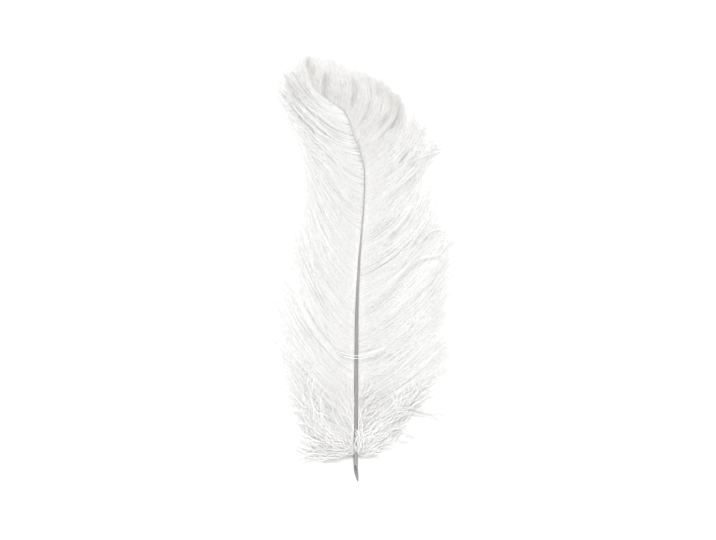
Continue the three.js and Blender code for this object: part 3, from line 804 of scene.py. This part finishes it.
# ---- Down -----------------------------------------------------------------------------------------------
# At the foot the barbs turn to down, of the same keratin but finer and looser: a soft fleece like the vane's
# under layer, and on it a tangle of wisps that point every way. It grows out of the sides of the shaft, and
# a few of its wisps cross over the shaft.
WISP_HEADINGS = {  # y of the root, and the degrees by which a wisp points up the shaft where it leaves
    "left": [(-129, -4), (-121, 18), (-112, 46), (-100, 64), (-80, 68)],
    "right": [(-129, 30), (-120, 26), (-110, 26), (-98, 32), (-80, 46)],
}
WISP_LOWEST = {"left": -14, "right": 4}  # the least of those degrees
WISP_SPREAD = (16, 28)  # degrees, of the wisps of the shaft and of those of the fleece
WISP_STEPS = 15
SHAFT_WISPS = 110  # on each side, that grow from the shaft within sight
SHAFT_WISPS_FROM_TO = (-129, -88)
FLEECE_WISPS = 300  # on each side, that come up out of the fleece further out
FLEECE_WISPS_TO = 5.6  # counted in guides from the foot
SHAFT_CROWDING, FLEECE_CROWDING = 1.4, 0.9  # above 1 they stand closer near the foot, below it further apart
FLEECE_WISPS_OUT = (0.08, 0.8)  # shares of the length of the fleece's barbs at which they come up
WISP_SUNK = 1.0  # millimetres by which those start inside it
CLEAR_OF_SHAFT = 1.7  # millimetres; all but the crossing wisps keep this far from its middle
CROSSING_TO, CROSSING_SHARE = -121, 0.26  # of those with roots up to there, this share crosses over the shaft
STEEP_SHARE = {"left": 0.12, "right": 0.32}  # of the rest, these stand close along it
STEEP_HEADINGS = ((68, 104), (58, 84))  # degrees, of crossing and of steep wisps
WISP_TURN = (2, 1)  # mean and spread of how far a wisp turns on its way, counted in TURN_DEGREES
TURN_DEGREES = (10, 30)  # for crossing and steep wisps, and for all others
WISP_LENGTHS = ((10, 20), (16, 34), (18, 46), (9, 28))  # of crossing, steep and other ones, and the fleece's
WOBBLE, WOBBLE_PERIOD = 0.25, 12  # radians and millimetres
HUMPS = ((1.6, 3.8), (1.6, 3.2))  # millimetres, of the wisps of the shaft and of those of the fleece
WISP_RISE = 0.6  # millimetres above its root from which a wisp comes down
WHOLE_FALL, MOST_FALL = 42, 0.9  # length of one that would come all the way down, and the most that one does
BOB, BOB_PERIOD = 0.35, 8  # millimetres, of its waves up and down
WISP_GREY = (0.02, 0.12)  # mean and spread
WISP_ROOT_GREY = 0.15  # how much greyer those of the shaft are at their roots
WISP_END_SHADE = {"left": 0.02, "right": 0.0}  # how much painted shade greys them at their ends
LONG_END_SHADE = {"left": 0.45, "right": 0.85}  # and the long ones, with painted shade along them
LONG_BUNDLE = {"left": 2, "right": 3}  # long wisps that start together
LONG_SPREAD = 0.9  # millimetres; how far they part on their way
LONG_FLATTER = np.array([1, 1, 0.2])  # and how much less in height
LONG_WISPS = {  # a few that reach far out
    "left": [[[-24, -118, 4], [-31, -116.4, 3.4], [-37, -114.6, 2.6], [-42, -111, 1.9], [-46.5, -106, 1.4]],
             [[-22, -121, 4], [-29, -118.6, 3.4], [-35, -116, 2.6], [-40, -112.5, 1.9], [-44.5, -109.6, 1.4]],
             [[-20, -122, 4], [-28, -121.8, 3.4], [-34, -119, 2.6], [-39, -114, 1.9], [-42, -109, 1.4]],
             [[-23, -123, 3], [-30, -122.4, 2.5], [-36, -122.8, 1.8], [-41, -121, 1.2], [-45.5, -119, 0.8]],
             [[-20, -125, 3], [-28, -126.4, 2.5], [-35, -125.4, 1.8], [-41, -126.4, 1.2], [-46.5, -126, 0.8]],
             [[-22, -127, 3], [-30, -128.4, 2.5], [-37, -128, 1.8], [-42, -130.4, 1.2], [-46, -133, 0.8]],
             [[-18, -127.5, 3], [-26, -129.4, 2.5], [-33, -130, 1.8], [-38, -132.4, 1.2],
              [-43.5, -136.5, 0.8]],
             [[-14, -129, 3], [-22, -131.4, 2.5], [-29, -131, 1.8], [-35, -132.6, 1.2], [-40, -135, 0.8]]],
    "right": [[[20, -96.5, 5], [29, -95.6, 4.6], [39, -97, 3.6], [49, -99.6, 2.4], [58, -101.6, 1.4]],
              [[22, -99.6, 4.6], [29, -98.6, 4], [37, -99.6, 3], [45, -102, 2], [52, -104.6, 1.2]],
              [[8, -117, 4], [15, -114.6, 3.6], [22, -114, 2.8], [30, -115.4, 2], [37, -117.8, 1.2]],
              [[10, -119, 3.6], [16, -117.6, 3], [22, -118, 2.4], [28, -119.6, 1.6], [33, -120, 1.2]]],
}


def lay_wisps(name, guides, side, rng):
    """Paths and greys like lay_barbs's. A wisp's heading turns evenly from its first to its last, with a
    wobble, so its plan is the running sum of short steps. A wisp of the shaft rises from its side in a hump
    and comes down near the surface, the longer the lower. A wisp of the fleece starts inside it and does the
    same. The last few are the LONG_WISPS in their bundles, which part towards the tips."""
    count = SHAFT_WISPS + FLEECE_WISPS
    grown = np.arange(count) < SHAFT_WISPS
    low, high = SHAFT_WISPS_FROM_TO
    shaft_y = low + (high - low) * rng.random(count) ** SHAFT_CROWDING
    middle, along, half = on_shaft(shaft_y * MM)
    out = side * unit(np.stack([along[:, 1], -along[:, 0], np.zeros(count)], -1))
    on_side = middle / MM + out * (half / MM * (1 - ROOT_INSET))[:, None]
    fleece_place = FLEECE_WISPS_TO * rng.random(count) ** FLEECE_CROWDING
    on_fleece = on_sheet(guides, side, fleece_place, rng.uniform(*FLEECE_WISPS_OUT, count))
    root = np.where(grown[:, None], on_side, on_fleece - [0, 0, WISP_SUNK])

    kind = rng.random(count)
    crossing = grown & (shaft_y < CROSSING_TO) & (kind < CROSSING_SHARE)
    steep = grown & ~crossing & (kind > 1 - STEEP_SHARE[name])
    rise = read_off(WISP_HEADINGS[name], root[:, 1]) + rng.normal(0, 1, count) * np.where(grown, *WISP_SPREAD)
    steep_rises = [rng.uniform(*headings, count) for headings in STEEP_HEADINGS]
    rise = np.select([crossing, steep], steep_rises, np.maximum(rise, WISP_LOWEST[name]))
    turn = rng.normal(*WISP_TURN, count) * np.where(crossing | steep, *TURN_DEGREES)
    *shaft_lengths, fleece_length = [rng.uniform(*lengths, count) for lengths in WISP_LENGTHS]
    length = np.select([crossing, steep, grown], shaft_lengths, fleece_length)

    share = np.linspace(0, 1, WISP_STEPS)[None, :]
    run = share * length[:, None]
    angle = np.radians(rise[:, None] + turn[:, None] * share) + WOBBLE * wave(run, WOBBLE_PERIOD, rng)
    stride = (length / (WISP_STEPS - 1))[:, None, None]
    plan = root[:, None, :2] + np.cumsum(stride * np.stack([side * np.cos(angle), np.sin(angle)], -1), axis=1)
    beside = side * (plan[..., 0] - on_shaft(plan[..., 1] * MM)[0][..., 0] / MM)
    plan[..., 0] += side * np.where(crossing[:, None], 0, np.maximum(0, CLEAR_OF_SHAFT - beside))
    hump = np.where(grown, *[rng.uniform(*humps, count) for humps in HUMPS])[:, None]
    fall = 1 - smoothstep(share, 0, 1) * np.clip(length / WHOLE_FALL, 0, MOST_FALL)[:, None]
    height = (root[:, 2:] + WISP_RISE) * fall + hump * np.sin(np.pi * share) ** 0.7
    height += BOB * wave(run, BOB_PERIOD, rng)
    paths = np.concatenate([plan, height[..., None]], -1)
    paths[:, 0] = root

    knots = np.repeat(np.array(LONG_WISPS[name], float), LONG_BUNDLE[name], axis=0)
    parted = np.linspace(0.2, 1, knots.shape[1])[:, None]
    knots += rng.normal(0, LONG_SPREAD, knots.shape) * LONG_FLATTER * parted
    long = [smooth_through(line, share[0] * (knots.shape[1] - 1)) for line in knots]
    paths[-len(long):] = long
    paths[..., 2] = np.maximum(paths[..., 2], LOWEST_STEM)
    # painted shade towards the ends of the wisps, more along the long ones
    grey = rng.normal(*WISP_GREY, (count, 1)) + WISP_END_SHADE[name] * share**2
    grey += WISP_ROOT_GREY * grown[:, None] * (1 - smoothstep(share, 0, 0.4))
    grey[-len(long):] = LONG_END_SHADE[name] * share
    return paths, np.clip(grey, 0, 1)


fluff = keratin("down_white", (0.95, 0.948, 0.942), (0.26, 0.252, 0.24), 0.85)
FLEECE_GUIDES = DOWN_GUIDES + 0.6  # it goes on a little under the vane
# the fleece's tone is painted shade: it lies low under the wisps
FLEECE = dict(pitch=0.6, lock_barbs=(1, 2), draw=0.0, lift=-1.2, reach=0.9, ragged=0.2, stray=0.55, dive=0.5,
              tone=0.11)
FLEECE_HABIT = dict(radius=(0.11, 0.03), spacing=0.32, width=0.13, lengths=(2.4, 3.8, 2.6), angles=(58, 42),
                    bent=True)
WISP_HABIT = dict(radius=(0.2, 0.08), rolled=True, spacing=0.6, width=0.1, lengths=(0.5, 0.6, 0.6),
                  angles=(38, 24), bent=False)
for name, guides, side, seed in (("left", LEFT_GUIDES, -1, 21), ("right", RIGHT_GUIDES, 1, 22)):
    rng = np.random.default_rng(seed)
    fleece = lay_barbs(guides, side, 0, FLEECE_GUIDES, rng, **FLEECE)
    wisps = lay_wisps(name, guides, side, rng)
    for part, laid, habit in (("fleece", fleece, FLEECE_HABIT), ("wisps", wisps, WISP_HABIT)):
        piece = tuft(f"down_{name}_{part}", laid, rng, **habit)
        piece.data.materials.append(fluff)
        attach(piece, "root")
        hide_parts(f"down_{name}")


# ---- Stray barbs ----------------------------------------------------------------------------------------
# Two barbs of the left vane have sprung out of the pile and lie across the shaft, and a third curls up
# beside them. They are stouter than the others, and their barbules are short.
STRAYS = np.array([  # middle lines in millimetres
    [[-19.0, -56.2, 8.0], [-14.8, -57.6, 9.5], [-10.4, -58.7, 11.2], [-4.9, -59.4, 12.3], [2.5, -58.6, 12.2],
     [9.0, -57.2, 12.0], [15.5, -54.4, 11.0]],
    [[-17.0, -58.2, 8.6], [-13.0, -59.8, 10.0], [-9.0, -60.9, 11.3], [-4.9, -61.3, 11.9], [1.5, -60.9, 11.8],
     [7.0, -59.4, 11.6], [12.0, -57.4, 11.2]],
    [[3.0, -57.8, 11.8], [8.0, -56.2, 12.2], [11.8, -55.4, 12.4], [14.6, -53.4, 12.4], [13.6, -51.2, 12.2],
     [10.6, -51.4, 11.8], [9.4, -53.2, 11.2]],
])
STRAY_STEPS = 48
stray_place = np.linspace(0, STRAYS.shape[1] - 1, STRAY_STEPS)
stray_paths = np.stack([smooth_through(knots, stray_place) for knots in STRAYS])
strays = tuft("stray_barbs", (stray_paths, np.zeros(stray_paths.shape[:2])), np.random.default_rng(31),
              radius=(0.34, 0.16), spacing=0.4, width=0.14, lengths=(0.9, 0.9, 0.7), angles=(45, 25),
              bent=False)
strays.data.materials.append(white)
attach(strays, "root")


# ---- Surface, light and camera --------------------------------------------------------------------------
# The plume lies loose on plain pale paper, lit until it shows white, and nothing holds it. Two soft boxes
# stand over it, one beyond its tip and one beyond its foot, and the camera looks straight down on it.
FLOOR_HALF = 3.0  # metres
SURROUNDING_LIGHT = 0.965  # strength of the even light from all round
corners = FLOOR_HALF * np.array([[-1, -1, 0], [1, -1, 0], [1, 1, 0], [-1, 1, 0]])
floor = new_mesh("floor", corners, [[0, 1, 2, 3]])
paper, wire = new_material("floor_white")
matt = wire.node("ShaderNodeBsdfPrincipled", values={
    "Base Color": (0.54, 0.54, 0.54, 1), "Roughness": 0.8, "Specular IOR Level": 0.1})
wire.node("ShaderNodeOutputMaterial", values={"Surface": matt})
floor.data.materials.append(paper)

scene = bpy.context.scene
scene.view_settings.view_transform = "Standard"
world = bpy.data.worlds.new("studio")
scene.world = world
world.use_nodes = True
world.node_tree.nodes["Background"].inputs["Color"].default_value = (1, 1, 1, 1)
world.node_tree.nodes["Background"].inputs["Strength"].default_value = SURROUNDING_LIGHT


def softbox(name, place, size, power):
    """A square area light that faces the plume."""
    light = bpy.data.lights.new(name, "AREA")
    light.size, light.energy = size, power
    lamp = bpy.data.objects.new(name, light)
    scene.collection.objects.link(lamp)
    lamp.location = place
    lamp.rotation_euler = (-lamp.location).to_track_quat("-Z", "Y").to_euler()


softbox("key", (-0.1, 1.9, 2.4), 0.8, 98)
softbox("fill", (0.9, -1.4, 2.4), 1.2, 44)

CAMERA_X = -0.0035
FRAME_WIDTH = 0.5012  # metres of the surface that fill the picture's long side
LENS, SENSOR = 85.0, 36.0
lens = bpy.data.cameras.new("camera")
lens.lens, lens.sensor_width = LENS, SENSOR
camera = bpy.data.objects.new("camera", lens)
scene.collection.objects.link(camera)
camera.location = (CAMERA_X, 0, FRAME_WIDTH * LENS / SENSOR)
scene.camera = camera
